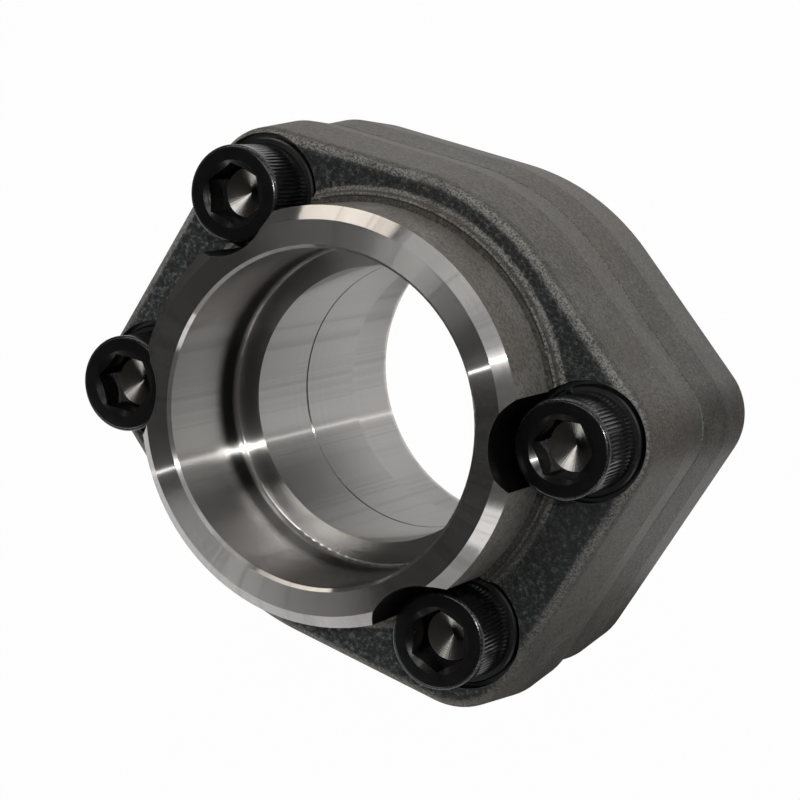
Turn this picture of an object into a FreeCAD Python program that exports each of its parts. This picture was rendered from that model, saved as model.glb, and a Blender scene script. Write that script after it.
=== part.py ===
"""Pair of four-bolt socket-weld flanges for a 60.3 mm hydraulic pipe, bolted face to face.

The pipe axis stands on +Z and the assembly rests on the end ring of the lower flange.
The long side of the rectangular bolt pattern lies along X.
"""
import FreeCAD, Part
import Sketcher
import math
import os

os.makedirs("parts", exist_ok=True)

V = FreeCAD.Vector

# places closer than this, in mm, count as the same
SAME_PLACE = 1e-4

SIZES = {
    # flange as a whole, measured from its joint face
    "flange_height": 44.4,
    "plate_thickness": 26.4,
    "parting_height": 10.5,
    "forging_draft": 4.5,
    # plan outline at the parting line of the forging
    "bolt_half_length": 38.9,
    "bolt_half_width": 21.45,
    "ear_radius": 13.1,
    "middle_radius": 46.1,
    # the front forging is fuller on one long side and at one ear
    "full_middle_radius": 46.9,
    "full_ear_radius": 14.4,
    "full_ear_half_length": 38.0,
    "full_ear_half_width": 24.2,
    "face_edge_rounding": 2.8,
    "joint_edge_rounding": 0.7,
    # turned hub
    "hub_radius": 37.95,
    "hub_end_chamfer_width": 2.43,
    "hub_end_chamfer_height": 2.2,
    "hub_step_width": 1.9,
    "hub_step_height": 2.0,
    "hub_step_rounding": 0.8,
    "hub_root_rounding": 1.6,
    # pipe socket and bore
    "pipe_radius": 30.15,
    "pipe_clearance": 0.35,
    "socket_depth": 25.0,
    "socket_mouth_bevel": 0.6,
    "socket_seat_rounding": 0.5,
    "bore_radius": 25.9,
    "bore_edge_bevel": 0.3,
    # seal in the joint face
    "seal_groove_inner_radius": 27.65,
    "seal_groove_outer_radius": 31.95,
    "seal_groove_depth": 2.8,
    "seal_side_clearance": 0.15,
    "seal_top_clearance": 0.02,
    "seal_corner_rounding": 1.2,
    # socket head cap screws
    "screw_radius": 6.0,
    "screw_length": 45.0,
    "screw_tip_bevel": 1.0,
    "screw_hole_clearance": 0.75,
    "tapped_hole_clearance": 0.05,
    "head_radius": 9.0,
    "head_height": 12.0,
    "head_rim_bevel": 0.53,
    "hex_across_flats": 10.0,
    "hex_depth": 6.0,
    "hex_mouth_radius": 6.2,
    "hex_mouth_cone": 3.1,
    "hex_drill_radius": 4.6,
    "hex_drill_cone": 1.2,
    # spot faces and lock washers
    "spot_face_height": 23.5,
    "spot_face_radius": 11.0,
    "washer_thickness": 2.5,
    "washer_width": 3.9,
    "washer_bore_clearance": 0.2,
    "washer_edge_bevel": 0.3,
    "washer_split_angle": 9.0,
}

doc = FreeCAD.newDocument("bolted_flange_pair")
sheet = doc.addObject("Spreadsheet::Sheet", "sizes")
for row, (name, number) in enumerate(SIZES.items(), start=1):
    sheet.set("A%d" % row, name)
    sheet.set("B%d" % row, str(number))
    sheet.setAlias("B%d" % row, name)
doc.recompute()


def size(text):
    """Number and expression of a sum of named sizes, such as 'hub_radius - hub_step_width'."""
    total = 0.0
    sign = 1.0
    words = []
    for word in text.split():
        if word in ("+", "-"):
            sign = 1.0 if word == "+" else -1.0
            words.append(word)
        else:
            total += sign * SIZES[word]
            words.append("sizes." + word)
    return total, " ".join(words)


def bind(owner, path, text):
    owner.setExpression(path, size(text)[1])


def new_body(label):
    body = doc.addObject("PartDesign::Body", label)
    body.Label = label
    return body


def plane_of(body, role):
    for feature in body.Origin.OriginFeatures:
        if feature.Role == role:
            return feature
    raise RuntimeError("no plane " + role)


def new_sketch(body, name, role="XY_Plane", height=None):
    sketch = body.newObject("Sketcher::SketchObject", name)
    sketch.AttachmentSupport = (plane_of(body, role), "")
    sketch.MapMode = "FlatFace"
    if height:
        bind(sketch, ".AttachmentOffset.Base.z", height)
    doc.recompute()
    return sketch


def pin_point(sketch, geometry, end, x_text, y_text, tag):
    """Hold one sketch point at named sizes from the origin; None keeps it on the axis."""
    if x_text is None:
        sketch.addConstraint(Sketcher.Constraint("PointOnObject", geometry, end, -2))
    else:
        index = sketch.addConstraint(
            Sketcher.Constraint("DistanceX", -1, 1, geometry, end, size(x_text)[0]))
        sketch.renameConstraint(index, tag + "_x")
        bind(sketch, "Constraints." + tag + "_x", x_text)
    if y_text is None:
        sketch.addConstraint(Sketcher.Constraint("PointOnObject", geometry, end, -1))
    else:
        index = sketch.addConstraint(
            Sketcher.Constraint("DistanceY", -1, 1, geometry, end, size(y_text)[0]))
        sketch.renameConstraint(index, tag + "_y")
        bind(sketch, "Constraints." + tag + "_y", y_text)


def profile(body, name, corners):
    """Closed straight-sided profile on the XZ plane, each corner at named sizes."""
    sketch = new_sketch(body, name, "XZ_Plane")
    spots = []
    for x_text, y_text in corners:
        x = size(x_text)[0] if x_text else 0.0
        y = size(y_text)[0] if y_text else 0.0
        spots.append(V(x, y, 0))
    count = len(spots)
    for index in range(count):
        sketch.addGeometry(Part.LineSegment(spots[index], spots[(index + 1) % count]), False)
    for index in range(count):
        sketch.addConstraint(
            Sketcher.Constraint("Coincident", index, 2, (index + 1) % count, 1))
    for index, (x_text, y_text) in enumerate(corners):
        pin_point(sketch, index, 1, x_text, y_text, "corner%d" % index)
    doc.recompute()
    return sketch


def revolve(body, kind, name, sketch, angle=360.0):
    feature = body.newObject("PartDesign::" + kind, name)
    feature.Profile = sketch
    feature.ReferenceAxis = (sketch, ["V_Axis"])
    feature.Angle = angle
    sketch.Visibility = False
    body.Tip = feature
    doc.recompute()
    return feature


def edges_where(shape, test):
    return ["Edge%d" % (i + 1) for i, edge in enumerate(shape.Edges) if test(edge)]


def round_edges(body, name, feature, test, radius):
    names = edges_where(feature.Shape, test)
    if not names:
        raise RuntimeError("no edges for " + name)
    fillet = body.newObject("PartDesign::Fillet", name)
    fillet.Base = (feature, names)
    fillet.Radius = size(radius)[0]
    bind(fillet, "Radius", radius)
    body.Tip = fillet
    doc.recompute()
    return fillet


def flat_at(height):
    """Test for edges that lie wholly at one height."""
    def test(edge):
        box = edge.BoundBox
        return abs(box.ZMin - height) < SAME_PLACE and abs(box.ZMax - height) < SAME_PLACE
    return test


def ring_at(radius, height):
    """Test for full or part circles about the axis at one height."""
    def test(edge):
        curve = edge.Curve
        if not isinstance(curve, Part.Circle):
            return False
        on_axis = math.hypot(curve.Center.x, curve.Center.y) < SAME_PLACE
        same_size = abs(curve.Radius - radius) < SAME_PLACE
        return on_axis and same_size and abs(curve.Center.z - height) < SAME_PLACE
    return test


def hull_sketch(body, name, height, rounds):
    """Closed outline of arcs joined by outer tangents, counter-clockwise about the rounds.

    Each round is the named half-length, half-width and radius of one circle.
    """
    sketch = new_sketch(body, name, "XY_Plane", height)
    circles = []
    for x_text, y_text, radius in rounds:
        x = size(x_text)[0] if x_text else 0.0
        y = size(y_text)[0] if y_text else 0.0
        circles.append((V(x, y, 0), size(radius)[0]))
    count = len(circles)
    turns = []
    for index in range(count):
        centre, radius = circles[index]
        after, after_radius = circles[(index + 1) % count]
        step = after - centre
        heading = math.atan2(step.y, step.x)
        turns.append(heading - math.acos((radius - after_radius) / step.Length))

    def spot(index, turn):
        centre, radius = circles[index]
        return centre + V(math.cos(turn), math.sin(turn), 0) * radius

    for index in range(count):
        centre, radius = circles[index]
        start = turns[index - 1]
        stop = turns[index]
        while stop < start:
            stop += 2 * math.pi
        circle = Part.Circle(centre, V(0, 0, 1), radius)
        sketch.addGeometry(Part.ArcOfCircle(circle, start, stop), False)
        after = (index + 1) % count
        sketch.addGeometry(Part.LineSegment(spot(index, turns[index]), spot(after, turns[index])),
                           False)
    for index in range(2 * count):
        after = (index + 1) % (2 * count)
        sketch.addConstraint(Sketcher.Constraint("Tangent", index, 2, after, 1))
    for index, (x_text, y_text, radius) in enumerate(rounds):
        arc = 2 * index
        pin_point(sketch, arc, 3, x_text, y_text, "centre%d" % index)
        rule = sketch.addConstraint(Sketcher.Constraint("Radius", arc, circles[index][1]))
        sketch.renameConstraint(rule, "radius%d" % index)
        bind(sketch, "Constraints.radius%d" % index, radius)
    doc.recompute()
    return sketch


def plate_outline(body, upper):
    """Middle round and four ears, drawn at the parting line of the forging."""
    right = "bolt_half_length"
    left = "- bolt_half_length"
    back = "bolt_half_width"
    front = "- bolt_half_width"
    if upper:
        near_ear = ("full_ear_half_length", "- full_ear_half_width", "full_ear_radius")
        near_middle = (None, None, "full_middle_radius")
    else:
        near_ear = (right, front, "ear_radius")
        near_middle = (None, None, "middle_radius")
    return hull_sketch(body, "parting_outline", "parting_height", [
        (right, back, "ear_radius"),
        (None, None, "middle_radius"),
        (left, back, "ear_radius"),
        (left, front, "ear_radius"),
        near_middle,
        near_ear])


def bolt_circles(body, name, height, radius):
    """Four equal circles on the bolt pattern."""
    sketch = new_sketch(body, name, "XY_Plane", height)
    a = SIZES["bolt_half_length"]
    b = SIZES["bolt_half_width"]
    first = None
    for sx, sy in ((1, 1), (-1, 1), (-1, -1), (1, -1)):
        circle = Part.Circle(V(sx * a, sy * b, 0), V(0, 0, 1), size(radius)[0])
        item = sketch.addGeometry(circle, False)
        if first is None:
            first = item
            index = sketch.addConstraint(
                Sketcher.Constraint("Radius", item, size(radius)[0]))
            sketch.renameConstraint(index, "hole")
            bind(sketch, "Constraints.hole", radius)
            pin_point(sketch, item, 3, "bolt_half_length", "bolt_half_width", "centre")
        else:
            sketch.addConstraint(Sketcher.Constraint("Equal", first, item))
    sketch.addConstraint(Sketcher.Constraint("Symmetric", 0, 3, 1, 3, -2))
    sketch.addConstraint(Sketcher.Constraint("Symmetric", 1, 3, 2, 3, -1))
    sketch.addConstraint(Sketcher.Constraint("Symmetric", 0, 3, 3, 3, -1))
    doc.recompute()
    return sketch


def cut(body, name, sketch, upward):
    """Cut a sketch right through, upward or downward from its own plane."""
    before = body.Shape.Volume
    pocket = body.newObject("PartDesign::Pocket", name)
    pocket.Profile = sketch
    pocket.Type = "ThroughAll"
    pocket.Reversed = upward
    sketch.Visibility = False
    body.Tip = pocket
    doc.recompute()
    if body.Shape.Volume > before - 1.0:
        raise RuntimeError(name + " removes nothing")
    return pocket


def build_flange(label, upper):
    """Forged plate with ears and a turned hub; the joint face lies on z = 0."""
    body = new_body(label)
    outline = plate_outline(body, upper)

    face_half = body.newObject("PartDesign::Pad", "face_half")
    face_half.Profile = outline
    bind(face_half, "Length", "plate_thickness - parting_height")
    face_half.setExpression("TaperAngle", "-sizes.forging_draft")
    doc.recompute()
    joint_half = body.newObject("PartDesign::Pad", "joint_half")
    joint_half.Profile = outline
    joint_half.Reversed = True
    bind(joint_half, "Length", "parting_height")
    joint_half.setExpression("TaperAngle", "-sizes.forging_draft")
    outline.Visibility = False
    body.Tip = joint_half
    doc.recompute()

    plate_top = SIZES["plate_thickness"]
    rounded = round_edges(body, "face_edge", joint_half, flat_at(plate_top),
                          "face_edge_rounding")
    round_edges(body, "joint_edge", rounded, flat_at(0.0), "joint_edge_rounding")

    step = "hub_radius + hub_step_width"
    step_top = "plate_thickness + hub_step_height"
    hub = profile(body, "hub_profile", [
        (None, "parting_height"),
        (step, "parting_height"),
        (step, step_top),
        ("hub_radius", step_top),
        ("hub_radius", "flange_height - hub_end_chamfer_height"),
        ("hub_radius - hub_end_chamfer_width", "flange_height"),
        (None, "flange_height")])
    hub_solid = revolve(body, "Revolution", "hub", hub)
    step_radius = size(step)[0]
    shoulder = round_edges(body, "hub_step_edge", hub_solid,
                           ring_at(step_radius, size(step_top)[0]), "hub_step_rounding")
    round_edges(body, "hub_root", shoulder, ring_at(step_radius, plate_top),
                "hub_root_rounding")

    if upper:
        spots = bolt_circles(body, "spot_face_circles", "spot_face_height", "spot_face_radius")
        cut(body, "spot_faces", spots, True)
        holes = bolt_circles(body, "screw_hole_circles", "flange_height",
                             "screw_radius + screw_hole_clearance")
        cut(body, "screw_holes", holes, False)
    else:
        holes = bolt_circles(body, "tapped_hole_circles", "flange_height",
                             "screw_radius + tapped_hole_clearance")
        cut(body, "tapped_holes", holes, False)

    socket = "pipe_radius + pipe_clearance"
    seat = "flange_height - socket_depth"
    bore = profile(body, "bore_profile", [
        (None, None),
        ("bore_radius + bore_edge_bevel", None),
        ("bore_radius", "bore_edge_bevel"),
        ("bore_radius", seat),
        (socket, seat),
        (socket, "flange_height - socket_mouth_bevel"),
        (socket + " + socket_mouth_bevel", "flange_height"),
        (None, "flange_height")])
    opened = revolve(body, "Groove", "socket_and_bore", bore)
    last = round_edges(body, "socket_seat", opened,
                       ring_at(size(socket)[0], size(seat)[0]), "socket_seat_rounding")

    if upper:
        section = profile(body, "seal_groove_profile", [
            ("seal_groove_inner_radius", None),
            ("seal_groove_outer_radius", None),
            ("seal_groove_outer_radius", "seal_groove_depth"),
            ("seal_groove_inner_radius", "seal_groove_depth")])
        last = revolve(body, "Groove", "seal_groove", section)
    body.Tip = last
    return body


def build_seal():
    """Elastomer ring, squeezed to the depth of its groove."""
    body = new_body("o_ring")
    inner = "seal_groove_inner_radius + seal_side_clearance"
    outer = "seal_groove_outer_radius - seal_side_clearance"
    top = "seal_groove_depth - seal_top_clearance"
    section = profile(body, "seal_profile", [
        (inner, "seal_top_clearance"),
        (outer, "seal_top_clearance"),
        (outer, top),
        (inner, top)])
    ring = revolve(body, "Revolution", "ring", section)

    def rim(edge):
        return isinstance(edge.Curve, Part.Circle)

    round_edges(body, "ring_corners", ring, rim, "seal_corner_rounding")
    return body


def build_screw(label):
    """Hexagon socket head cap screw; the underside of the head lies on z = 0."""
    body = new_body(label)
    turned = profile(body, "screw_profile", [
        (None, "head_height"),
        ("head_radius - head_rim_bevel", "head_height"),
        ("head_radius", "head_height - head_rim_bevel"),
        ("head_radius", None),
        ("screw_radius", None),
        ("screw_radius", "- screw_length + screw_tip_bevel"),
        ("screw_radius - screw_tip_bevel", "- screw_length"),
        (None, "- screw_length")])
    revolve(body, "Revolution", "turned_blank", turned)

    hexagon = new_sketch(body, "hexagon", "XY_Plane", "head_height")
    reach = SIZES["hex_across_flats"] / math.sqrt(3)
    tips = [V(reach * math.cos(math.pi * k / 3), reach * math.sin(math.pi * k / 3), 0)
            for k in range(6)]
    for index in range(6):
        hexagon.addGeometry(Part.LineSegment(tips[index], tips[(index + 1) % 6]), False)
    for index in range(6):
        hexagon.addConstraint(Sketcher.Constraint("Coincident", index, 2, (index + 1) % 6, 1))
    guide = hexagon.addGeometry(Part.Circle(V(0, 0, 0), V(0, 0, 1), reach), True)
    hexagon.addConstraint(Sketcher.Constraint("Coincident", guide, 3, -1, 1))
    for index in range(6):
        hexagon.addConstraint(Sketcher.Constraint("PointOnObject", index, 1, guide))
    for index in range(1, 6):
        hexagon.addConstraint(Sketcher.Constraint("Equal", 0, index))
    hexagon.addConstraint(Sketcher.Constraint("PointOnObject", 0, 1, -1))
    index = hexagon.addConstraint(Sketcher.Constraint("Radius", guide, reach))
    hexagon.renameConstraint(index, "reach")
    hexagon.setExpression("Constraints.reach", "sizes.hex_across_flats / sqrt(3)")
    doc.recompute()
    key_socket = body.newObject("PartDesign::Pocket", "key_socket")
    key_socket.Profile = hexagon
    bind(key_socket, "Length", "hex_depth")
    hexagon.Visibility = False
    body.Tip = key_socket
    doc.recompute()

    mouth = profile(body, "mouth_profile", [
        (None, "head_height"),
        (None, "head_height - hex_mouth_cone"),
        ("hex_mouth_radius", "head_height")])
    revolve(body, "Groove", "key_socket_mouth", mouth)
    drill = profile(body, "drill_profile", [
        (None, "head_height - hex_depth"),
        (None, "head_height - hex_depth - hex_drill_cone"),
        ("hex_drill_radius", "head_height - hex_depth")])
    revolve(body, "Groove", "drill_point", drill)
    return body


def build_washer(label):
    """Split lock washer, pressed flat; it lies on z = 0."""
    body = new_body(label)
    inner = "screw_radius + washer_bore_clearance"
    outer = inner + " + washer_width"
    section = profile(body, "washer_profile", [
        (inner, None),
        (outer + " - washer_edge_bevel", None),
        (outer, "washer_edge_bevel"),
        (outer, "washer_thickness - washer_edge_bevel"),
        (outer + " - washer_edge_bevel", "washer_thickness"),
        (inner, "washer_thickness")])
    coil = revolve(body, "Revolution", "coil", section)
    coil.setExpression("Angle", "360 - sizes.washer_split_angle")
    doc.recompute()
    return body


def put(body, x_text, y_text, z_text, turn=0.0, tilt=0.0):
    """Place a body at named sizes, turned about +Z after an optional half turn about X."""
    spin = FreeCAD.Rotation(V(0, 0, 1), turn)
    flip = FreeCAD.Rotation(V(1, 0, 0), tilt)
    body.Placement = FreeCAD.Placement(V(0, 0, 0), spin.multiply(flip))
    for axis, text in (("x", x_text), ("y", y_text), ("z", z_text)):
        if text:
            bind(body, ".Placement.Base." + axis, text)


nodes = []

front = build_flange("front_flange", True)
put(front, None, None, "flange_height")
nodes.append(front)

rear = build_flange("rear_flange", False)
put(rear, None, None, "flange_height", 0.0, 180.0)
nodes.append(rear)

seal = build_seal()
put(seal, None, None, "flange_height")
nodes.append(seal)

# each screw stops where its own key socket and washer split happened to end up
corners = [
    ("1", "- bolt_half_length", "bolt_half_width", 8.0, 200.0),
    ("2", "- bolt_half_length", "- bolt_half_width", 21.0, 75.0),
    ("3", "bolt_half_length", "- bolt_half_width", 2.0, 310.0),
    ("4", "bolt_half_length", "bolt_half_width", 27.0, 150.0),
]
for tag, x_text, y_text, key_turn, split_turn in corners:
    screw = build_screw("cap_screw_" + tag)
    put(screw, x_text, y_text, "flange_height + spot_face_height + washer_thickness", key_turn)
    nodes.append(screw)
    washer = build_washer("lock_washer_" + tag)
    put(washer, x_text, y_text, "flange_height + spot_face_height", split_turn)
    nodes.append(washer)

doc.recompute()
for item in doc.Objects:
    if "Invalid" in item.State or "Error" in item.State:
        raise RuntimeError("broken feature " + item.Name)
for body in nodes:
    shape = body.Shape
    if shape.isNull() or not shape.isValid() or len(shape.Solids) != 1:
        raise RuntimeError("bad shape in " + body.Label)
for body in nodes:
    body.Shape.exportStep("parts/%s.step" % body.Label)
    print(body.Label, round(body.Shape.Volume, 1))
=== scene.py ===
"""Finishes, cap screws, light and camera for a bolted pair of socket-weld pipe flanges."""

import math

import bmesh
import bpy
from mathutils import Matrix, Vector


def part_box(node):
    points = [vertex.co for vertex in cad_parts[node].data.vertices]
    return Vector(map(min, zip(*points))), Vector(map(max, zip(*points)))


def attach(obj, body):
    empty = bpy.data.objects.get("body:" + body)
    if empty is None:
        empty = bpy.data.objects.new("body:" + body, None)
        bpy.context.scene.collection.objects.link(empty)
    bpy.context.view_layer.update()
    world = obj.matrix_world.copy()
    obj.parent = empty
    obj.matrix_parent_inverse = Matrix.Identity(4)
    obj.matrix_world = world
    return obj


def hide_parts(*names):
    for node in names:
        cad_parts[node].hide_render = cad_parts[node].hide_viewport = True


bl_info = {
    "name": "Bolted flange pair",
    "version": (1, 0, 0),
    "blender": (4, 5, 0),
    "location": "View3D > Sidebar > Flange pair",
    "description": "Finishes, knurled cap screws and a white studio for a bolted flange pair",
    "category": "Object",
}

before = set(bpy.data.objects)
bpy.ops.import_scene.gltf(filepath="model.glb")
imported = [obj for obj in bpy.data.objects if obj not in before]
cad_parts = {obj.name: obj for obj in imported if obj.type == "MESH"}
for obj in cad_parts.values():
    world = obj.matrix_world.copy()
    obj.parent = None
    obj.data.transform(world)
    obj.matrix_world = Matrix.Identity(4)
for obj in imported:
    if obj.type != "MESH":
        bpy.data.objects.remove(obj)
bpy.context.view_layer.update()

SCREW_NODES = ["cap_screw_1", "cap_screw_2", "cap_screw_3", "cap_screw_4"]
WASHER_NODES = ["lock_washer_1", "lock_washer_2", "lock_washer_3", "lock_washer_4"]
FLANGE_NODES = ["front_flange", "rear_flange"]
BODY = "root"

# thickness of the lock washers in metres
LOCK_WASHER = 0.0025

# how far each screw's key socket stopped from the long side of the bolt pattern, in degrees
KEY_TURNS = {"cap_screw_1": 8.0, "cap_screw_2": 21.0, "cap_screw_3": 2.0, "cap_screw_4": 27.0}

# share of up or down in a face's direction from which it counts as a slope, and as a flat
SLOPE = 0.3
FLAT = 0.9

# turn of the brushing, in whole turns, that undoes the lean which the node's oblong box gives it
SLOPE_LEAN = -0.0058
FLAT_LEAN = -0.0087

# edges turned less than this are shaded smooth
SOFT_EDGE = math.radians(20.0)

# least radius in a division, in metres
TINY = 0.0001

# shares of the light under the bore: all round, towards +X, towards +Y, and twice a turn
BORE_EVEN = 0.807
BORE_EAST = 0.263
BORE_NORTH = -0.294
BORE_OVAL = 0.095
BORE_SKEW = 0.390

WHITE = (1.0, 1.0, 1.0)
BLACK = (0.0, 0.0, 0.0)


def length(name, description, default):
    """A size in metres that a user may change."""
    return bpy.props.FloatProperty(
        name=name, description=description, default=default, min=0.0,
        precision=5, unit="LENGTH", subtype="DISTANCE")


def colour(name, description, default):
    """A colour that a user may change."""
    return bpy.props.FloatVectorProperty(
        name=name, description=description, default=default, size=3,
        min=0.0, max=1.0, subtype="COLOR")


def share(name, description, default, top=1.0):
    """A number from nothing to a top value that a user may change."""
    return bpy.props.FloatProperty(
        name=name, description=description, default=default, min=0.0, max=top)


class FlangeSizes(bpy.types.PropertyGroup):
    """Sizes of the flanges that their finishes follow."""
    joint_height: length("Joint height", "Height of the joint face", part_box("rear_flange")[1].z)
    plate: length("Plate", "Thickness of the forged plate", 0.0264)
    flange_height: length("Flange height", "Height of one flange", 0.0444)
    hub_radius: length("Hub radius", "Outer radius of the hub", 0.03795)
    hub_root: length("Hub root", "Height that the hub's skin reaches down into the plate", 0.0010)
    skirt: length("Hub skirt", "Width of the smooth skin round the hub's foot", 0.0011)
    # painted shade: width of the dark line painted round the hub's skirt
    crease_shade: length("Crease", "Width of the dark line round the skirt", 0.0005)
    hub_bevel: length("Hub bevel", "Height of the bevel at the hub's end", 0.0022)
    ledge: length("Ledge height", "Height of the pipe socket's ledge above the joint", 0.0194)
    socket_outer: length("Socket reach", "Radius inside which everything is turned", 0.0330)
    bolt_half_length: length("Bolt half length", "Half the long side of the bolt pattern", 0.0389)
    bolt_half_width: length("Bolt half width", "Half the short side of the bolt pattern", 0.02145)
    spot_radius: length("Spot face radius", "Radius of the spot faces", 0.0110)
    spot_height: length("Spot face height", "Height of the spot faces above the joint", 0.0235)


class ScrewSizes(bpy.types.PropertyGroup):
    """Sizes of one socket head cap screw."""
    head_radius: length("Head radius", "Radius of the head", 0.0090)
    head_height: length("Head height", "Height of the head", 0.0120)
    rim: length("Rim rounding", "Rounding of the head's top rim", 0.0008)
    shank_radius: length("Shank radius", "Radius of the shank", 0.0060)
    shank_length: length("Shank length", "Length below the head", 0.0450)
    tip: length("Tip bevel", "Bevel at the screw's tip", 0.0010)
    key_flats: length("Key size", "Width of the key socket across its flats", 0.0100)
    key_depth: length("Key depth", "Depth of the key socket", 0.0060)
    mouth_radius: length("Mouth radius", "Radius of the bevelled mouth of the key socket", 0.0062)
    mouth_cone: length("Mouth cone", "Depth of the cone that bevels the mouth", 0.0031)
    drill_radius: length("Drill radius", "Radius of the drill point in the key socket", 0.0046)
    drill_cone: length("Drill cone", "Depth of the drill point", 0.0012)
    knurl_depth: length("Knurl depth", "Depth of the knurl's grooves", 0.00032)
    knurl_low: length("Knurl foot", "Height at which the knurl starts", 0.0010)
    knurl_high: length("Knurl top", "Height at which the knurl ends", 0.0093)
    thread_pitch: length("Thread pitch", "Pitch of the thread", 0.00175)
    thread_depth: length("Thread depth", "Depth of the thread", 0.00095)
    thread_length: length("Thread length", "Length of the thread from the tip", 0.0360)
    ridges: bpy.props.IntProperty(
        name="Ridges", description="Ridges of the knurl", default=72, min=12)


class Finishes(bpy.types.PropertyGroup):
    """Colours of the finishes."""
    forging: colour("Forging", "Forged skin on the flanks", (0.137, 0.131, 0.112))
    forging_brown: colour("Forging, brown", "Brown patches of the skin", (0.122, 0.100, 0.080))
    forging_dark: colour("Forging, dark", "Scale in the forged skin", (0.071, 0.067, 0.057))
    hub_side: colour("Hub side", "Side of the hub", (0.300, 0.282, 0.255))
    # dark pits of the skin, and also the colour of the painted shade line round the hub's skirt
    pits_and_painted_shade: colour("Pits", "Dark pits of the forged skin", (0.014, 0.014, 0.014))
    # painted shade: the level faces of the forged skin get a darker grey than its flanks; the same
    # grey also tints the spot faces and the rubber
    shaded_face_grey: colour("Blasted face", "Rough faces beside the hub", (0.046, 0.053, 0.052))
    # bright specks of worn metal, also used for a painted highlight along the forged roundings
    worn_edge_and_highlight: colour("Worn edge", "Bright specks on rounded edges", (0.420, 0.410, 0.390))
    steel: colour("Turned steel", "Hub, end ring, socket and bore", (0.545, 0.525, 0.510))
    steel_dark: colour("Turned steel, dark", "Darker turning marks", (0.500, 0.485, 0.470))
    chatter: colour("Chatter marks", "Dull marks across the turning rings", (0.260, 0.250, 0.245))
    # painted highlight: the ledge's flat gets a far brighter colour than the rest of the turned
    # steel
    ledge: colour("Ledge", "Bright turned ledge of the pipe socket", (0.900, 0.880, 0.840))
    # painted shade: near-black band low on the socket's wall next to the ledge, standing in for the
    # shade and dark reflection in that corner
    socket_foot_shade: colour("Socket foot", "Dull band low on the socket's wall", (0.030, 0.030, 0.030))
    milled: colour("Spot faces", "Milled spot faces", (0.200, 0.200, 0.200))
    # painted shade: near-black colour on the pocket walls round the screw heads
    scallop_shade: colour("Scallops", "Walls of the pockets round the screw heads", (0.020, 0.020, 0.021))
    black_oxide: colour("Black oxide", "Cap screws", (0.012, 0.012, 0.013))
    bright_oxide: colour("Rubbed oxide", "Rubbed rims of the cap screws", (0.170, 0.170, 0.175))
    bare_socket: colour("Bare socket", "Bare steel under the key sockets", (0.210, 0.200, 0.185))
    washer: colour("Washer", "Lock washers", (0.075, 0.075, 0.077))
    seal: colour("Seal", "O-ring", (0.018, 0.018, 0.018))


class StudioSettings(bpy.types.PropertyGroup):
    """Camera, floor and lights."""
    camera_place: bpy.props.FloatVectorProperty(
        name="Camera", description="Camera position", size=3, subtype="TRANSLATION", precision=5,
        default=(0.14909, 0.16669, 0.49340))
    camera_turn: bpy.props.FloatVectorProperty(
        name="Camera turn", description="Camera rotation", size=3, subtype="EULER", precision=6,
        default=tuple(math.radians(a) for a in (-6.6242, 26.2874, 33.5017)))
    lens: bpy.props.FloatProperty(
        name="Lens", description="Focal length", default=117.13, unit="CAMERA")
    sensor: bpy.props.FloatProperty(
        name="Sensor", description="Width of the sensor", default=36.0, unit="CAMERA")
    floor_paint: colour("Floor paint", "Colour of the floor in the part's shadow", (0.4, 0.4, 0.4))
    flag_cloth: colour("Flag cloth", "Colour of the flags round the part", (0.05, 0.05, 0.05))
    floor_white: share("Floor white", "Share of the floor that shows as plain white", 0.985)
    ambient: share("Ambient", "Strength of the plain light from all round", 0.12)
    canopy: share("Canopy", "Brightness of the dark flag above", 0.03)
    dark_wall: share("Dark wall", "Brightness of the dark walls round the part", 0.06)
    bore_floor: share("Bore floor", "Brightness of the floor as the bore mirrors it", 0.55)
    rear_wall: share("Rear wall", "Brightness of the low wall behind the part", 0.45)
    pale_wall: share("Pale wall", "Brightness of the pale wall to the right of the camera", 0.60)
    key_tint: colour("Key tint", "Colour of the large softbox", (1.0, 0.93, 0.84))
    key: share("Key", "Power of the large softbox in watts", 1.6, 20.0)
    streak: share("Streak", "Power of the slim lamp above the camera in watts", 4.0, 20.0)
    low_streak: share("Low streak", "Power of the slim lamp below the camera in watts", 0.55, 20.0)
    side: share("Side", "Power of the softbox on the right in watts", 0.41, 20.0)
    high: share("High", "Power of the softbox overhead in watts", 0.5, 20.0)
    panel: share("Panel", "Power of the panel behind in watts", 1.2, 20.0)
    ledge: share("Ledge lamp", "Power of the small softbox above the camera in watts", 0.42, 20.0)
    front: share("Front", "Power of the soft light from the front in watts", 1.95, 20.0)
    right: share("Right", "Power of the soft light from the right in watts", 0.05, 20.0)
    back: share("Back", "Power of the soft light from behind in watts", 5.0, 20.0)


class Wire:
    """One socket of a node tree; Python operators on it add Math nodes."""

    def __init__(self, net, socket):
        self.net = net
        self.socket = socket

    def math(self, operation, *others):
        """Math node with this socket as its first number."""
        return self.net.add("ShaderNodeMath", {"operation": operation}, self, *others)

    def __add__(self, other):
        return self.math("ADD", other)

    def __radd__(self, other):
        return self.math("ADD", other)

    def __sub__(self, other):
        return self.math("SUBTRACT", other)

    def __rsub__(self, other):
        return self.net.add("ShaderNodeMath", {"operation": "SUBTRACT"}, other, self)

    def __mul__(self, other):
        return self.math("MULTIPLY", other)

    def __rmul__(self, other):
        return self.math("MULTIPLY", other)

    def __truediv__(self, other):
        return self.math("DIVIDE", other)

    def __abs__(self):
        return self.math("ABSOLUTE")

    def __gt__(self, other):
        return self.math("GREATER_THAN", other)

    def __lt__(self, other):
        return self.math("LESS_THAN", other)


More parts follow.
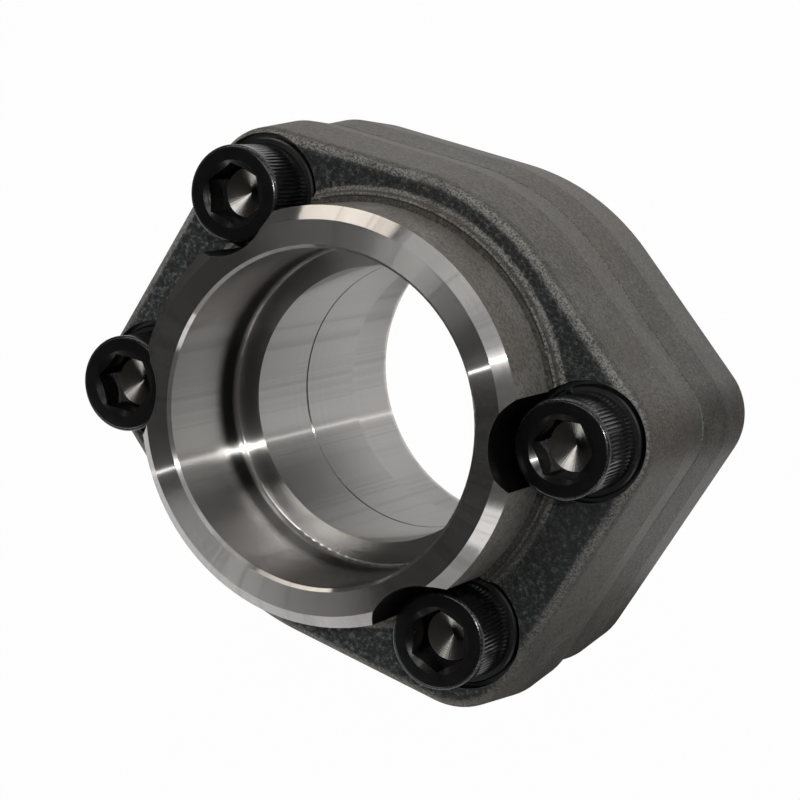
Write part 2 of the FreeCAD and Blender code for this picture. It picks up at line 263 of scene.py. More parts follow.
class Net:
    """A node tree under construction; every node comes from add."""

    def __init__(self, tree):
        self.tree = tree
        tree.nodes.clear()

    def add(self, kind, settings=None, *values, out=0, **named):
        """New node with its settings made first, then its sockets filled or linked."""
        node = self.tree.nodes.new(kind)
        row, column = divmod(len(self.tree.nodes), 12)
        node.location = (220 * column, -180 * row)
        for key, value in (settings or {}).items():
            setattr(node, key, value)
        pairs = list(enumerate(values))
        pairs += [(key.replace("_", " "), value) for key, value in named.items()]
        for key, value in pairs:
            if isinstance(value, Wire):
                self.tree.links.new(value.socket, node.inputs[key])
            elif value is not None:
                node.inputs[key].default_value = value
        if not node.outputs:
            return node
        return Wire(self, node.outputs[out])

    def part(self, wire, out):
        """Another output of the node that a wire comes from."""
        return Wire(self, wire.socket.node.outputs[out])

    def smooth(self, value, low, high):
        """0 below low, 1 above high, eased between."""
        return self.add("ShaderNodeMapRange", {"interpolation_type": "SMOOTHSTEP"},
                        value, float(low), float(high), 0.0, 1.0)

    def mix(self, factor, first, second):
        """Colour between two colours."""
        number_sockets = [None] * 5
        colours = [item if isinstance(item, Wire) else opaque(item) for item in (first, second)]
        return self.add("ShaderNodeMix", {"data_type": "RGBA"}, factor, *number_sockets, *colours,
                        out=2)

    def noise(self, place, scale, detail=3.0, roughness=0.55):
        """Noise through the solid, in waves to the metre."""
        return self.add("ShaderNodeTexNoise", None, Vector=place, Scale=scale, Detail=detail,
                        Roughness=roughness)

    def lines(self, along, scale, detail=2.0):
        """Noise that changes along one number only, as turning marks do."""
        return self.add("ShaderNodeTexNoise", {"noise_dimensions": "1D"}, W=along, Scale=scale,
                        Detail=detail, Roughness=0.6)

    def bump(self, height, depth):
        """Bump of a height from 0 to 1 that stands for a depth in metres."""
        return self.add("ShaderNodeBump", None, Strength=1.0, Distance=depth, Height=height)

    def place(self):
        """Point on the object, in metres."""
        return self.add("ShaderNodeTexCoord", None, out="Object")

    def axes(self, vector):
        """The three numbers of a vector."""
        split = self.add("ShaderNodeSeparateXYZ", None, vector)
        return split, self.part(split, "Y"), self.part(split, "Z")

    def root_sum(self, first, second):
        """Length of a flat vector from its two numbers."""
        return (first * first + second * second).math("SQRT")


def opaque(shade):
    """A colour with the fourth number that a socket asks for."""
    return (*shade, 1.0)


def new_material(name):
    """Empty material and the net of its nodes."""
    material = bpy.data.materials.new(name)
    material.use_nodes = True
    return material, Net(material.node_tree)


def surface(net, shader):
    """End a material's net in its output."""
    net.add("ShaderNodeOutputMaterial", None, Surface=shader)


def principled(net, **values):
    """A Principled shader; keyword names are its sockets' names."""
    return net.add("ShaderNodeBsdfPrincipled", None, **values)


def flange_places(net, sizes):
    """Numbers that the finishes follow: place, radius, height from the joint, screw distance."""
    place = net.place()
    x, y, z = net.axes(place)
    radius = net.root_sum(x, y)
    rise = z - sizes.joint_height
    screw = net.root_sum(abs(x) - sizes.bolt_half_length, abs(y) - sizes.bolt_half_width)
    return place, radius, rise, screw


def compass(net, place, radius):
    """Flat direction from the axis, of length 1, so that noise on it runs along the radius."""
    x, y, _ = net.axes(place)
    return net.add("ShaderNodeCombineXYZ", None, x / radius, y / radius, 0.0)


def facing(net):
    """How far a face looks up or down, from 0 on a flank to 1 on a level face."""
    _, _, z = net.axes(net.add("ShaderNodeTexCoord", None, out="Normal"))
    return abs(z)


def forged_skin(net, finish, place, level, on_hub, skirt, crease_shade):
    """Shader of the forged skin: warm flanks, rough faces in a darker grey that is painted shade,
    bright specks on edges.
    """
    broad = net.noise(place, 110.0, 4.0)
    grain = net.noise(place, 1300.0, 3.0, 0.7)
    speck = net.noise(place, 2600.0, 2.0, 0.8)
    flank = net.mix(net.smooth(broad, 0.36, 0.66), finish.forging_dark, finish.forging)
    flank = net.mix(on_hub * 0.8, flank, finish.hub_side)
    tone = net.noise(place, 45.0, 2.0)
    flank = net.mix(net.smooth(tone, 0.40, 0.56) * 0.65, flank, finish.forging_brown)
    flank = net.mix(net.smooth(speck, 0.50, 0.75) * 0.35, flank, finish.worn_edge_and_highlight)
    flank = net.mix(net.smooth(grain, 0.55, 0.40) * 0.45, flank, finish.pits_and_painted_shade)
    coarse = net.noise(place, 1350.0, 2.0, 0.6)
    face = net.mix(net.smooth(coarse, 0.40, 0.58), finish.pits_and_painted_shade, finish.shaded_face_grey)
    face = net.mix(net.smooth(coarse, 0.56, 0.70) * 0.30, face, finish.worn_edge_and_highlight)
    off_hub = 1.0 - skirt
    # painted shade: faces that look up or down take the darker face colour, over their own coarse
    # pitting
    base = net.mix(net.smooth(level, 0.84, 0.97) * off_hub, flank, face)
    # painted shade: a dark line round the skirt at the hub's foot
    base = net.mix(crease_shade * 0.9, base, finish.pits_and_painted_shade)
    # bright band on the forged roundings: partly worn metal, partly a painted highlight where the
    # roundings catch the light
    edge = net.smooth(level, 0.45, 0.72) * (1.0 - net.smooth(level, 0.90, 0.98)) * off_hub
    _, y, _ = net.axes(place)
    # painted shade: the bright edge band fades to a third towards -Y
    painted_edge_falloff = 0.3 + 0.7 * net.smooth(y, -0.025, 0.010)
    wear_and_highlight = edge * net.smooth(speck, 0.38, 0.58) * net.smooth(broad, 0.25, 0.50) * painted_edge_falloff
    base = net.mix(wear_and_highlight * 0.7, base, finish.worn_edge_and_highlight)
    rough = 0.50 + 0.16 * broad - 0.10 * wear_and_highlight
    deep = net.smooth(level, 0.25, 0.90) * 0.7 + 0.3
    relief = (grain + speck) * deep + broad * 0.8
    normal = net.bump(relief, 0.00022)
    return principled(net, Base_Color=base, Metallic=0.2, Roughness=rough, Normal=normal)


def grooved_shader(net, finish, base, rough, shine, lean):
    """Soft and sharp metal mixed, whose highlights run across its turning rings."""
    soft = principled(net, Base_Color=base, Metallic=1.0, Roughness=rough, Anisotropic=1.0,
                      Anisotropic_Rotation=0.25 + lean)
    sharp = net.add("ShaderNodeBsdfAnisotropic", {"distribution": "GGX"},
                    Color=opaque(finish.steel), Roughness=0.13, Anisotropy=0.9,
                    Rotation=lean % 1.0)
    return net.add("ShaderNodeMixShader", None, shine, soft, sharp)


def turned_steel(net, finish, around, level, radius, rise, ledge):
    """Shader of lathe-turned steel: fine rings that stretch every highlight across them."""
    height = abs(rise)
    along = radius - height
    bands = net.lines(along, 700.0, 4.0)
    base = net.mix(net.smooth(bands, 0.30, 0.75), finish.steel_dark, finish.steel)
    chatter = net.smooth(net.noise(around, 12.0, 3.0, 0.65), 0.46, 0.68)
    base = net.mix(chatter * 0.5, base, finish.chatter)
    above = height - ledge
    slip = 0.0002
    # painted shade: dark band on the socket's wall just above the ledge, with less shine there
    foot = net.smooth(above, slip, 0.0024) * net.smooth(above, 0.0095, 0.0050)
    base = net.mix(foot, base, finish.socket_foot_shade)
    # painted highlight: the flat of the ledge is coloured near white
    base = net.mix((level > FLAT) * (abs(above) < slip), base, finish.ledge)
    rough = 0.17 + 0.03 * bands
    shine = 0.5 * (1.0 - 0.35 * chatter) * (1.0 - foot)
    wall = grooved_shader(net, finish, base, rough, shine, 0.0)
    slope = grooved_shader(net, finish, base, rough, shine, SLOPE_LEAN)
    flat = grooved_shader(net, finish, base, rough, shine, FLAT_LEAN)
    shader = net.add("ShaderNodeMixShader", None, level > SLOPE, wall, slope)
    return net.add("ShaderNodeMixShader", None, level > FLAT, shader, flat)


def milled_steel(net, finish, screw, place, level):
    """Shader of the spot faces, milled in rings about each screw, and of their walls, painted
    nearly black as painted shade.
    """
    rings = net.lines(screw, 1500.0, 2.0)
    cloud = net.noise(place, 300.0)
    base = net.mix(cloud, finish.milled, finish.shaded_face_grey)
    # painted shade: the steep pocket walls are painted nearly black
    base = net.mix(net.smooth(level, 0.4, 0.6), finish.scallop_shade, base)
    normal = net.bump(rings, 0.00003)
    return principled(net, Base_Color=base, Metallic=0.9, Roughness=0.38, Normal=normal)


def flange_material(sizes, finish):
    """One finish for both flanges: forged, turned and milled areas told apart by their place."""
    material, net = new_material("forged_and_turned_steel")
    place, radius, rise, screw = flange_places(net, sizes)
    level = facing(net)
    height = abs(rise)
    slip = 0.00005
    inside = radius < sizes.socket_outer
    turned = inside.math("MAXIMUM", height > sizes.flange_height - sizes.hub_bevel - slip)
    above_plate = height > sizes.plate - sizes.hub_root
    on_hub = (radius < sizes.hub_radius + slip) * above_plate
    skirt = (radius < sizes.hub_radius + sizes.skirt) * above_plate
    crease_shade = (radius < sizes.hub_radius + sizes.skirt + sizes.crease_shade) * above_plate - skirt
    milled = (screw < sizes.spot_radius + slip) * (rise > sizes.spot_height - slip)
    skin = forged_skin(net, finish, place, level, on_hub, skirt, crease_shade)
    around = compass(net, place, radius)
    steel = turned_steel(net, finish, around, level, radius, rise, sizes.ledge)
    spot = milled_steel(net, finish, screw, place, level)
    shader = net.add("ShaderNodeMixShader", None, turned, skin, steel)
    shader = net.add("ShaderNodeMixShader", None, milled, shader, spot)
    surface(net, shader)
    return material


def screw_material(sizes, screws, finish):
    """Oiled black oxide, rubbed brighter on the rims."""
    material, net = new_material("black_oxide_steel")
    place, _, rise, screw = flange_places(net, sizes)
    cloud = net.noise(place, 500.0, 3.0)
    speck = net.noise(place, 2600.0, 2.0)
    rings = net.lines(screw, 2600.0, 1.0)
    level = facing(net)
    rim = net.smooth(level, 0.25, 0.6) * (1.0 - net.smooth(level, 0.9, 0.99))
    outer = screw > screws.head_radius - screws.rim
    rubbed = rim * outer * net.smooth(speck, 0.35, 0.65) * 0.5
    base = net.mix(rubbed, finish.black_oxide, finish.bright_oxide)
    slip = 0.0001
    head_wall = 0.0015
    in_head = rise > sizes.spot_height
    key_floor = sizes.spot_height + LOCK_WASHER + screws.head_height - screws.key_depth
    at_floor = (screw < screws.drill_radius) * in_head * (rise < key_floor + slip)
    base = net.mix(at_floor, base, finish.bare_socket)
    key_walls = (level < SLOPE) * (screw < screws.head_radius - head_wall) * in_head
    dry = key_walls.math("MAXIMUM", at_floor)
    rough = 0.18 + 0.14 * cloud - 0.06 * at_floor
    normal = net.bump(rings * 0.6 + speck * 0.4, 0.00001)
    metal = 0.6 + 0.4 * dry
    surface(net, principled(net, Base_Color=base, Metallic=metal, Roughness=rough, Normal=normal,
                            Coat_Weight=0.25 * (1.0 - dry), Coat_Roughness=0.10))
    return material


def washer_material(finish):
    """Dull rolled spring steel."""
    material, net = new_material("spring_steel")
    place = net.place()
    cloud = net.noise(place, 700.0, 3.0)
    speck = net.noise(place, 3000.0, 2.0)
    base = net.mix(cloud * 0.6, finish.washer, finish.black_oxide)
    normal = net.bump(speck, 0.00002)
    surface(net, principled(net, Base_Color=base, Metallic=1.0, Roughness=0.30 + 0.15 * cloud,
                            Normal=normal))
    return material


def seal_material(finish):
    """Matt rubber."""
    material, net = new_material("seal_rubber")
    grain = net.noise(net.place(), 4000.0, 2.0)
    base = net.mix(grain * 0.3, finish.seal, finish.shaded_face_grey)
    surface(net, principled(net, Base_Color=base, Roughness=0.7 + 0.1 * grain,
                            Normal=net.bump(grain, 0.00001)))
    return material


def ring_of_points(form, radius, height, count):
    """Points of a level ring about Z, or one point where the radius is nothing."""
    if radius == 0.0:
        return [form.verts.new((0.0, 0.0, height))]
    turns = [2.0 * math.pi * step / count for step in range(count)]
    return [form.verts.new((radius * math.cos(turn), radius * math.sin(turn), height))
            for turn in turns]


def lathe(outline, segments):
    """Closed bmesh swept about Z from an outline that starts and ends on the axis."""
    form = bmesh.new()
    rings = [ring_of_points(form, radius, height, segments) for radius, height in outline]
    for low, high in zip(rings, rings[1:]):
        for step in range(segments):
            after = (step + 1) % segments
            corners = [low[step % len(low)], low[after % len(low)],
                       high[after % len(high)], high[step % len(high)]]
            form.faces.new(list(dict.fromkeys(corners)))
    bmesh.ops.recalc_face_normals(form, faces=form.faces)
    return form


def prism(sides, radius, low, high):
    """Closed bmesh of an upright prism with its corners at a radius."""
    form = bmesh.new()
    foot = ring_of_points(form, radius, low, sides)
    head = ring_of_points(form, radius, high, sides)
    for step in range(sides):
        after = (step + 1) % sides
        form.faces.new([foot[step], foot[after], head[after], head[step]])
    form.faces.new(list(reversed(foot)))
    form.faces.new(head)
    bmesh.ops.recalc_face_normals(form, faces=form.faces)
    return form


def to_object(name, form):
    """Object from a bmesh, linked to the scene."""
    mesh = bpy.data.meshes.new(name)
    form.to_mesh(mesh)
    form.free()
    piece = bpy.data.objects.new(name, mesh)
    bpy.context.scene.collection.objects.link(piece)
    return piece


def finished_mesh(piece):
    """Plain mesh of an object with its modifiers carried out."""
    graph = bpy.context.evaluated_depsgraph_get()
    mesh = bpy.data.meshes.new_from_object(piece.evaluated_get(graph))
    piece.modifiers.clear()
    old = piece.data
    piece.data = mesh
    bpy.data.meshes.remove(old)
    return mesh


def carve(piece, cutters):
    """Cut closed tools out of a closed piece, then drop the tools."""
    for cutter in cutters:
        modifier = piece.modifiers.new("cut", "BOOLEAN")
        modifier.operation = "DIFFERENCE"
        modifier.solver = "EXACT"
        modifier.object = cutter
    finished_mesh(piece)
    for cutter in cutters:
        mesh = cutter.data
        bpy.data.objects.remove(cutter)
        bpy.data.meshes.remove(mesh)


def crisp(mesh):
    """Merge doubled points and shade smooth across all but the sharp edges."""
    merge_reach = 1e-7
    form = bmesh.new()
    form.from_mesh(mesh)
    bmesh.ops.remove_doubles(form, verts=form.verts, dist=merge_reach)
    for face in form.faces:
        face.smooth = True
    for edge in form.edges:
        edge.smooth = len(edge.link_faces) == 2 and edge.calc_face_angle(0.0) < SOFT_EDGE
    form.to_mesh(mesh)
    form.free()


def flat_drill_point(mesh, sizes):
    """Flat shading on the drill point, so that it mirrors light in sharp sectors."""
    slip = 0.00001
    floor = sizes.head_height - sizes.key_depth
    for face in mesh.polygons:
        reach = math.hypot(face.center.x, face.center.y)
        if 0.0 < face.center.z < floor - slip and reach < sizes.drill_radius:
            face.use_smooth = False


def screw_blank(sizes):
    """Turned blank with rounded rim, key socket and drill point, upright at the origin."""
    rim_rows = 8
    knurl_rows = 12
    rows_per_pitch = 6
    columns_per_ridge = 3
    mouth_sides = 96
    drill_sides = 48
    overcut = 0.001
    outline = [(0.0, sizes.head_height)]
    for row in range(rim_rows + 1):
        turn = math.radians(90.0 - 90.0 * row / rim_rows)
        outline.append((sizes.head_radius - sizes.rim + sizes.rim * math.cos(turn),
                        sizes.head_height - sizes.rim + sizes.rim * math.sin(turn)))
    for row in range(knurl_rows + 1):
        outline.append((sizes.head_radius, sizes.knurl_high
                        + (sizes.knurl_low - sizes.knurl_high) * row / knurl_rows))
    outline.append((sizes.head_radius, 0.0))
    outline.append((sizes.shank_radius, 0.0))
    top = -(sizes.shank_length - sizes.thread_length)
    bottom = -(sizes.shank_length - sizes.tip)
    rows = round((top - bottom) / sizes.thread_pitch * rows_per_pitch)
    for row in range(rows + 1):
        outline.append((sizes.shank_radius, top + (bottom - top) * row / rows))
    outline.append((sizes.shank_radius - sizes.tip, -sizes.shank_length))
    outline.append((0.0, -sizes.shank_length))
    blank = to_object("screw_blank", lathe(outline, columns_per_ridge * sizes.ridges))
    above = sizes.head_height + overcut
    floor = sizes.head_height - sizes.key_depth
    key = to_object("key", prism(6, sizes.key_flats / math.sqrt(3.0), floor, above))
    slope = sizes.mouth_radius / sizes.mouth_cone
    mouth = to_object("mouth", lathe([
        (0.0, above), (sizes.mouth_radius + slope * overcut, above),
        (0.0, sizes.head_height - sizes.mouth_cone)], mouth_sides))
    drill = to_object("drill", lathe([
        (0.0, floor + overcut), (sizes.drill_radius, floor + overcut),
        (sizes.drill_radius, floor), (0.0, floor - sizes.drill_cone)], drill_sides))
    carve(blank, [key, mouth, drill])
    return blank


def knurl_and_thread(material):
    """Geometry Nodes tree that presses the knurl and cuts the thread into a turned blank."""
    tree = bpy.data.node_groups.new("knurl_and_thread", "GeometryNodeTree")
    tree.interface.new_socket("Blank", in_out="INPUT", socket_type="NodeSocketGeometry")
    names = ("Head radius", "Shank radius", "Knurl depth", "Knurl foot", "Knurl top",
             "Thread pitch", "Thread depth", "Thread top")
    for name in names:
        tree.interface.new_socket(name, in_out="INPUT", socket_type="NodeSocketFloat")
    tree.interface.new_socket("Ridges", in_out="INPUT", socket_type="NodeSocketInt")
    tree.interface.new_socket("Screw", in_out="OUTPUT", socket_type="NodeSocketGeometry")
    net = Net(tree)
    blank = net.add("NodeGroupInput")
    head, shank, depth, foot, top, pitch, cut, start = (net.part(blank, name) for name in names)
    ridges = net.part(blank, "Ridges")
    slip = 0.00002
    x, y, z = net.axes(net.add("GeometryNodeInputPosition"))
    radius = net.root_sum(x, y)
    turn = y.math("ARCTAN2", x) / (2.0 * math.pi)
    ridge = (turn * ridges).math("FRACT")
    groove = abs(ridge * 2.0 - 1.0)
    on_knurl = (radius > head - slip) * (z > foot - slip) * (z < top + slip)
    pressed = on_knurl * groove * depth
    wave = abs((z / pitch - turn).math("FRACT") * 2.0 - 1.0)
    on_thread = (radius > shank - slip) * (radius < shank + slip) * (z < start)
    turned_in = on_thread * cut * (1.0 - wave)
    inward = (pressed + turned_in) * -1.0 / radius.math("MAXIMUM", TINY)
    offset = net.add("ShaderNodeCombineXYZ", None, x * inward, y * inward, 0.0)
    shaped = net.add("GeometryNodeSetPosition", None, Geometry=blank, Offset=offset)
    real = net.add("GeometryNodeRealizeInstances", None, shaped)
    painted = net.add("GeometryNodeSetMaterial", None, Geometry=real, Material=material)
    net.add("NodeGroupOutput", None, painted)
    return tree


def put_modifier(piece, tree, values):
    """Geometry Nodes modifier whose inputs are set by their sockets' identifiers."""
    modifier = piece.modifiers.new("shape", "NODES")
    modifier.node_group = tree
    for item in tree.interface.items_tree:
        if item.item_type == "SOCKET" and item.in_out == "INPUT" and item.name in values:
            modifier[item.identifier] = values[item.name]


class FLANGE_OT_flanges(bpy.types.Operator):
    """Give both flanges their forged, turned and milled finish"""
    bl_idname = "flange_pair.flanges"
    bl_label = "Finish the flanges"

    def execute(self, context):
        scene = context.scene
        material = flange_material(scene.flange_sizes, scene.flange_finishes)
        for name in FLANGE_NODES:
            dress_node(name, material)
        return {"FINISHED"}


class FLANGE_OT_cap_screws(bpy.types.Operator):
    """Build the knurled and threaded cap screws in place of the plain ones"""
    bl_idname = "flange_pair.cap_screws"
    bl_label = "Build the cap screws"

    def execute(self, context):
        scene = context.scene
        sizes = scene.screw_sizes
        material = screw_material(scene.flange_sizes, sizes, scene.flange_finishes)
        tree = knurl_and_thread(material)
        blank = screw_blank(sizes)
        put_modifier(blank, tree, {
            "Head radius": sizes.head_radius, "Shank radius": sizes.shank_radius,
            "Knurl depth": sizes.knurl_depth, "Knurl foot": sizes.knurl_low,
            "Knurl top": sizes.knurl_high, "Thread pitch": sizes.thread_pitch,
            "Thread depth": sizes.thread_depth,
            "Thread top": -(sizes.shank_length - sizes.thread_length),
            "Ridges": sizes.ridges})
        master = finished_mesh(blank)
        crisp(master)
        flat_drill_point(master, sizes)
        for name in SCREW_NODES:
            low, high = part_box(name)
            centre = (low + high) / 2.0
            under_head = high.z - sizes.head_height
            turn = math.radians(KEY_TURNS[name])
            mesh = master.copy()
            mesh.name = name + "_knurled"
            mesh.transform(Matrix.Translation((centre.x, centre.y, under_head))
                           @ Matrix.Rotation(turn, 4, "Z"))
            piece = bpy.data.objects.new(name + "_knurled", mesh)
            scene.collection.objects.link(piece)
            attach(piece, BODY)
            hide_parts(name)
        bpy.data.objects.remove(blank)
        return {"FINISHED"}


class FLANGE_OT_lock_washers(bpy.types.Operator):
    """Give the split lock washers their finish"""
    bl_idname = "flange_pair.lock_washers"
    bl_label = "Finish the lock washers"

    def execute(self, context):
        scene = context.scene
        material = washer_material(scene.flange_finishes)
        for name in WASHER_NODES:
            dress_node(name, material)
        return {"FINISHED"}


class FLANGE_OT_seal(bpy.types.Operator):
    """Give the O-ring its rubber"""
    bl_idname = "flange_pair.seal"
    bl_label = "Finish the O-ring"

    def execute(self, context):
        dress_node("o_ring", seal_material(context.scene.flange_finishes))
        return {"FINISHED"}


class FLANGE_OT_studio(bpy.types.Operator):
    """Set up the white floor, the lights and the camera"""
    bl_idname = "flange_pair.studio"
    bl_label = "Set up the studio"

    def execute(self, context):
        scene = context.scene
        studio = scene.flange_studio
        add_camera(scene, studio)
        add_world(scene, studio)
        add_floor(studio)
        add_flags(studio)
        add_lamps(scene, studio)
        scene.view_settings.view_transform = "Standard"
        return {"FINISHED"}


def dress_node(name, material):
    """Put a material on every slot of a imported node."""
    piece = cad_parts[name]
    if not piece.material_slots:
        piece.data.materials.append(material)
    for place in piece.material_slots:
        place.material = material


def from_angles(azimuth, elevation, distance):
    """Point at a distance from the part, by compass angle from +X and height angle."""
    turn = math.radians(azimuth)
    lift = math.radians(elevation)
    return Vector((distance * math.cos(lift) * math.cos(turn),
                   distance * math.cos(lift) * math.sin(turn),
                   distance * math.sin(lift)))


def add_camera(scene, studio):
    """Camera where the photograph was taken from."""
    data = bpy.data.cameras.new("camera")
    data.lens = studio.lens
    data.sensor_width = studio.sensor
    data.clip_start = 0.01
    data.clip_end = 20.0
    camera = bpy.data.objects.new("camera", data)
    camera.location = studio.camera_place
    camera.rotation_euler = studio.camera_turn
    scene.collection.objects.link(camera)
    scene.camera = camera


def add_softbox(scene, name, power, azimuth, elevation, distance, size, mirrored=True,
                tint=WHITE):
    """Area lamp aimed at the joint, either mirrored by the metal or lighting matt surfaces."""
    data = bpy.data.lights.new(name, "AREA")
    data.shape = "RECTANGLE"
    data.size, data.size_y = size
    data.energy = power
    data.color = tint
    lamp = bpy.data.objects.new(name, data)
    aim = Vector((0.0, 0.0, scene.flange_sizes.joint_height))
    away = from_angles(azimuth, elevation, distance)
    lamp.location = aim + away
    lamp.visible_glossy = mirrored
    lamp.visible_diffuse = not mirrored
    lamp.rotation_mode = "QUATERNION"
    lamp.rotation_quaternion = away.to_track_quat("Z", "Y")
    scene.collection.objects.link(lamp)


def add_lamps(scene, studio):
    """Lamps that the metal mirrors, then the soft ones that light matt surfaces."""
    add_softbox(scene, "key_softbox", studio.key, azimuth=140.0, elevation=13.0,
                distance=1.05, size=(0.66, 0.26), tint=studio.key_tint)
    add_softbox(scene, "streak_lamp", studio.streak, azimuth=55.7, elevation=58.0,
                distance=1.00, size=(0.006, 0.10))
    add_softbox(scene, "low_streak_lamp", studio.low_streak, azimuth=55.7, elevation=6.0,
                distance=1.00, size=(0.006, 0.14))
    add_softbox(scene, "high_softbox", studio.high, azimuth=150.0, elevation=70.0,
                distance=0.88, size=(0.24, 0.16))
    add_softbox(scene, "rear_panel", studio.panel, azimuth=256.0, elevation=42.0,
                distance=1.00, size=(0.60, 0.24))
    add_softbox(scene, "ledge_softbox", studio.ledge, azimuth=100.0, elevation=60.0,
                distance=0.95, size=(0.20, 0.20))
    add_softbox(scene, "right_softbox", studio.side, azimuth=-16.0, elevation=24.0,
                distance=1.00, size=(0.30, 0.24))
    add_softbox(scene, "front_light", studio.front, azimuth=98.0, elevation=30.0,
                distance=0.80, size=(0.30, 0.30), mirrored=False)
    add_softbox(scene, "right_light", studio.right, azimuth=-10.0, elevation=25.0,
                distance=0.60, size=(0.15, 0.15), mirrored=False)
    add_softbox(scene, "back_light", studio.back, azimuth=235.0, elevation=25.0,
                distance=0.80, size=(0.30, 0.30), mirrored=False)


def sight(net):
    """1 for the camera's rays and for those off a mirror or through glass, else 0."""
    camera = net.add("ShaderNodeLightPath")
    mirror = net.part(camera, "Is Glossy Ray")
    glass = net.part(camera, "Is Transmission Ray")
    return camera.math("MAXIMUM", mirror).math("MAXIMUM", glass)


def add_world(scene, studio):
    """Plain light all round; the camera and the metal see a white room."""
    world = bpy.data.worlds.new("white_room")
    world.use_nodes = True
    scene.world = world
    net = Net(world.node_tree)
    plain = net.add("ShaderNodeBackground", None, opaque(WHITE), studio.ambient)
    white = net.add("ShaderNodeBackground", None, opaque(WHITE), 1.0)
    room = net.add("ShaderNodeMixShader", None, sight(net), plain, white)
    net.add("ShaderNodeOutputWorld", None, room)


def disc(radius, height):
    """Level disc about Z."""
    form = bmesh.new()
    bmesh.ops.create_circle(form, cap_ends=True, radius=radius, segments=64,
                            matrix=Matrix.Translation((0.0, 0.0, height)))
    return form


def add_floor(studio):
    """White floor that shows as plain white but keeps the part's shadow."""
    floor = to_object("floor", disc(radius=4.0, height=0.0))
    material, net = new_material("white_floor")
    paint = net.add("ShaderNodeBsdfDiffuse", None, opaque(studio.floor_paint))
    white = net.add("ShaderNodeEmission", None, opaque(WHITE), 1.0)
    shown = sight(net) * studio.floor_white
    surface(net, net.add("ShaderNodeMixShader", None, shown, paint, white))
    floor.data.materials.append(material)


def flag_material(name, cloth, glow):
    """Dark cloth that metal sees with a set brightness."""
    material, net = new_material(name)
    paint = net.add("ShaderNodeBsdfDiffuse", None, opaque(cloth))
    light = net.add("ShaderNodeEmission", None, opaque(WHITE), glow)
    surface(net, net.add("ShaderNodeAddShader", None, paint, light))
    return material


def bore_card_material(studio):
    """Floor under the bore as its metal sees it, darker towards the right of the camera."""
    material, net = new_material("bore_card_cloth")
    x, y, _ = net.axes(net.place())
    radius = net.root_sum(x, y).math("MAXIMUM", TINY)
    east = x / radius
    north = y / radius
    glow = BORE_EVEN + BORE_EAST * east + BORE_NORTH * north
    glow = glow + BORE_OVAL * (2.0 * east * east - 1.0) + BORE_SKEW * (2.0 * east * north)
    shade = net.mix(glow * studio.bore_floor, BLACK, WHITE)
    surface(net, net.add("ShaderNodeEmission", None, shade, 1.0))
    return material


def put_flag(name, form, material):
    """Studio flag out of the camera's sight."""
    flag = to_object(name, form)
    flag.data.materials.append(material)
    flag.visible_camera = False


def directions(first, last, steps):
    """Flat directions from one compass angle to another, in even steps."""
    for step in range(steps + 1):
        turn = math.radians(first + (last - first) * step / steps)
        yield math.cos(turn), math.sin(turn)


def curved_wall(radius, first, last, top):
    """Upright wall that follows a circle about the part between two compass angles."""
    form = bmesh.new()
    foot = 0.02
    rows = []
    for x, y in directions(first, last, 64):
        rows.append([form.verts.new((radius * x, radius * y, height)) for height in (foot, top)])
    for near, far in zip(rows, rows[1:]):
        form.faces.new([near[0], far[0], far[1], near[1]])
    return form


def floor_card(near, far, first, last):
    """Flat sector just above the floor between two radii and two compass angles."""
    form = bmesh.new()
    lift = 0.001
    rows = []
    for x, y in directions(first, last, 24):
        rows.append([form.verts.new((radius * x, radius * y, lift)) for radius in (near, far)])
    for before, after in zip(rows, rows[1:]):
        form.faces.new([before[0], before[1], after[1], after[0]])
    return form


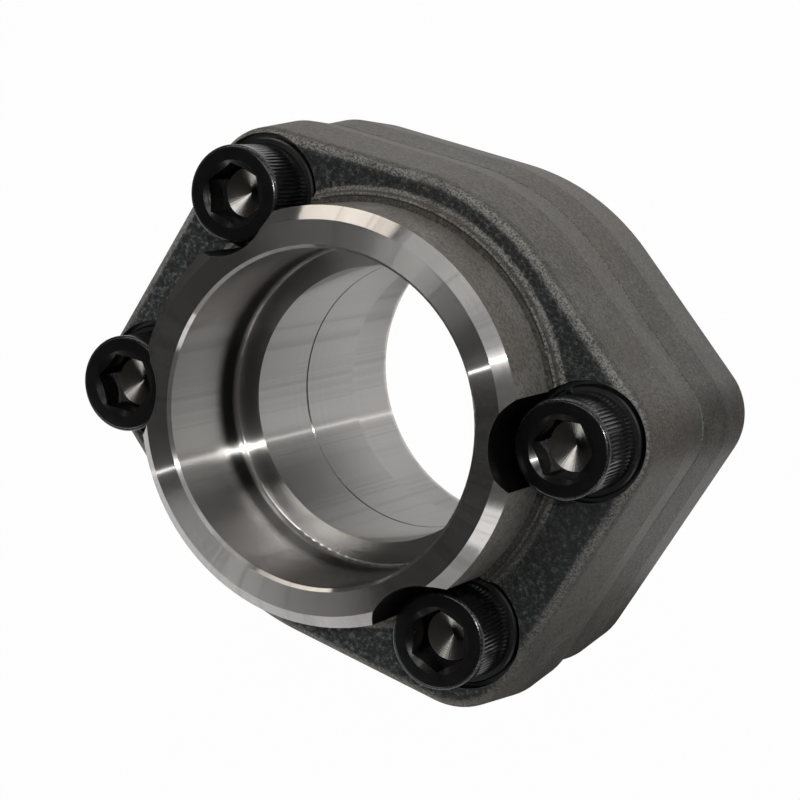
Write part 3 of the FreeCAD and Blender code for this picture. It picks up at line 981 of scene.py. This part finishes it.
def add_flags(studio):
    """Dark and pale flags that give the metal something to reflect, and a black card that is a
    painted shadow on the floor beside the part.
    """
    flags = {
        "canopy": (disc(radius=1.15, height=1.0), studio.canopy),
        "pale_wall": (curved_wall(1.3, 56.0, 120.0, top=1.0), studio.pale_wall),
        "dark_wall": (curved_wall(1.3, 120.0, 416.0, top=1.0), studio.dark_wall),
        "rear_wall": (curved_wall(1.28, -84.0, -4.0, top=0.75), studio.rear_wall),
        # painted shadow: black card on the floor where the part's shadow falls, seen by the metal
        # and by bounced light
        "low_card": (floor_card(0.045, 0.16, -105.0, -18.0), 0.0),
        "left_card": (floor_card(0.14, 1.25, 140.0, 220.0), 0.0),
        "right_card": (floor_card(0.060, 0.11, 14.0, 42.0), 0.0),
    }
    for name, (form, glow) in flags.items():
        put_flag(name, form, flag_material(name + "_cloth", studio.flag_cloth, glow))
    put_flag("bore_card", floor_card(0.0, 0.0304, 0.0, 360.0), bore_card_material(studio))


class FLANGE_PT_panel(bpy.types.Panel):
    """Sizes, colours and steps of the flange pair"""
    bl_idname = "FLANGE_PT_panel"
    bl_label = "Flange pair"
    bl_space_type = "VIEW_3D"
    bl_region_type = "UI"
    bl_category = "Flange pair"

    def draw(self, context):
        scene = context.scene
        for operator in OPERATORS:
            self.layout.operator(operator.bl_idname)
        for group in (scene.flange_sizes, scene.screw_sizes, scene.flange_finishes,
                      scene.flange_studio):
            box = self.layout.box()
            for name in group.__annotations__:
                box.prop(group, name)


GROUPS = {"flange_sizes": FlangeSizes, "screw_sizes": ScrewSizes,
          "flange_finishes": Finishes, "flange_studio": StudioSettings}
OPERATORS = [FLANGE_OT_flanges, FLANGE_OT_cap_screws, FLANGE_OT_lock_washers, FLANGE_OT_seal,
             FLANGE_OT_studio]


def register():
    """Register the classes and give the scene its settings."""
    for name, group in GROUPS.items():
        bpy.utils.register_class(group)
        setattr(bpy.types.Scene, name, bpy.props.PointerProperty(type=group))
    for item in OPERATORS + [FLANGE_PT_panel]:
        bpy.utils.register_class(item)


def unregister():
    """Undo register."""
    for item in reversed(OPERATORS + [FLANGE_PT_panel]):
        bpy.utils.unregister_class(item)
    for name, group in GROUPS.items():
        delattr(bpy.types.Scene, name)
        bpy.utils.unregister_class(group)


def main():
    """Build everything in order and keep the sizes."""
    register()
    bpy.ops.flange_pair.flanges()
    bpy.ops.flange_pair.cap_screws()
    bpy.ops.flange_pair.lock_washers()
    bpy.ops.flange_pair.seal()
    bpy.ops.flange_pair.studio()


if __name__ == "__main__":
    main()
